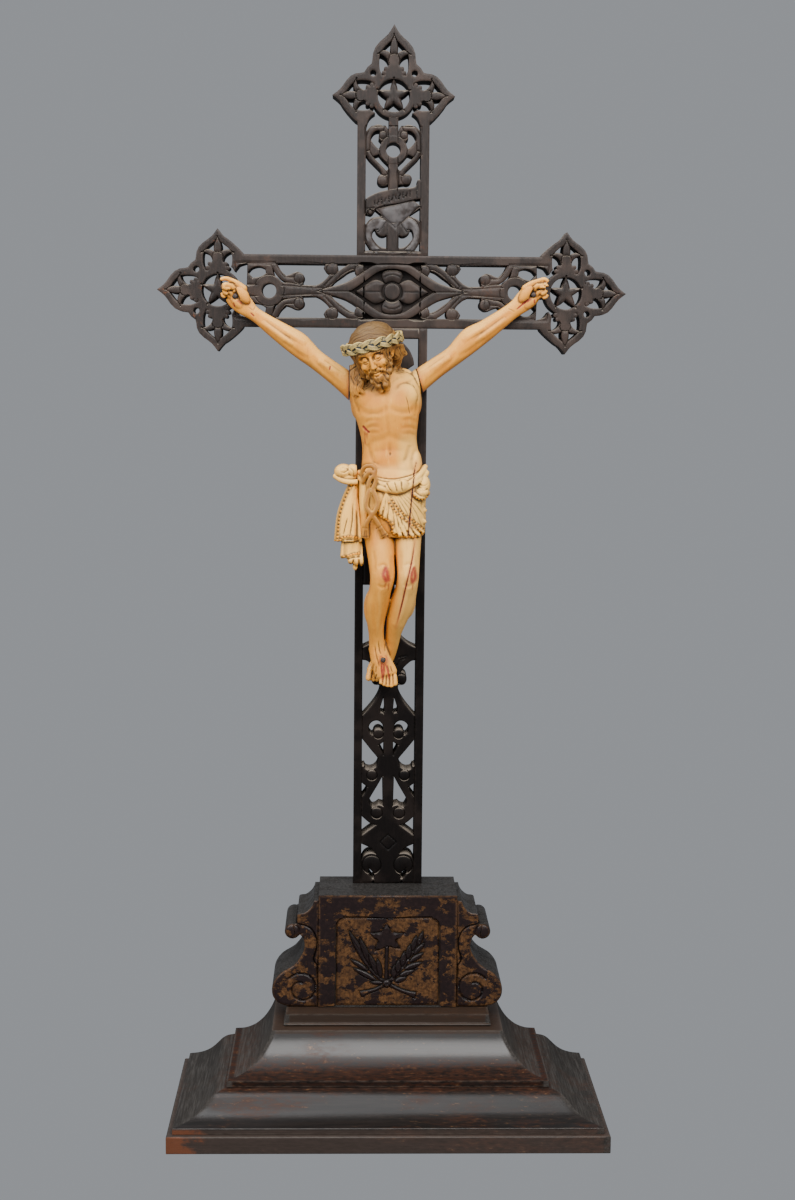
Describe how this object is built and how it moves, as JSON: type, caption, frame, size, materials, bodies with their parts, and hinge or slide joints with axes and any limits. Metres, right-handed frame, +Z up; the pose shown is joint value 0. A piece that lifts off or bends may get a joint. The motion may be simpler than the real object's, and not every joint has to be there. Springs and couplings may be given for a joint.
{
  "type": "carved wooden altar crucifix",
  "caption": "Standing crucifix of carved wood: a pierced cross with trefoil ends on a moulded plinth and scrolled die, with a carved figure in a loincloth.",
  "frame": {"origin": "on the floor under the middle of the object's box, which is the middle of the slab's underside", "axes": "+Z up, -Y towards the viewer (the figure's side), +X to the viewer's right"},
  "size_m": [0.3894, 0.1664, 0.9],
  "materials": {
    "dark_wood": "dark stained, satin, worn on the edges",
    "die_wood": "orange-brown over dark aubergine, flaked",
    "figure_wood": "pale painted wood, satin, brown in the hollows, gilt hems",
    "crown_paint": "cream paint with blue-green in the gaps",
    "nail_iron": "dark forged iron"
  },
  "bodies": {
    "root": {"base_slab": "dark_wood", "lower_moulding": "dark_wood", "upper_moulding": "dark_wood", "foot_board": "dark_wood", "die_block": "die_wood", "scroll_bracket_left": "die_wood", "scroll_bracket_right": "die_wood", "cross_shaft": "dark_wood", "crossbar": "dark_wood", "upper_arm": "dark_wood", "corpus": "figure_wood", "corpus_arm_left": "figure_wood", "corpus_arm_right": "figure_wood", "loincloth_fall": "figure_wood", "crown_of_thorns": "crown_paint", "nail_hand_left": "nail_iron", "nail_hand_right": "nail_iron", "nail_feet": "nail_iron"}
  },
  "joints": []
}
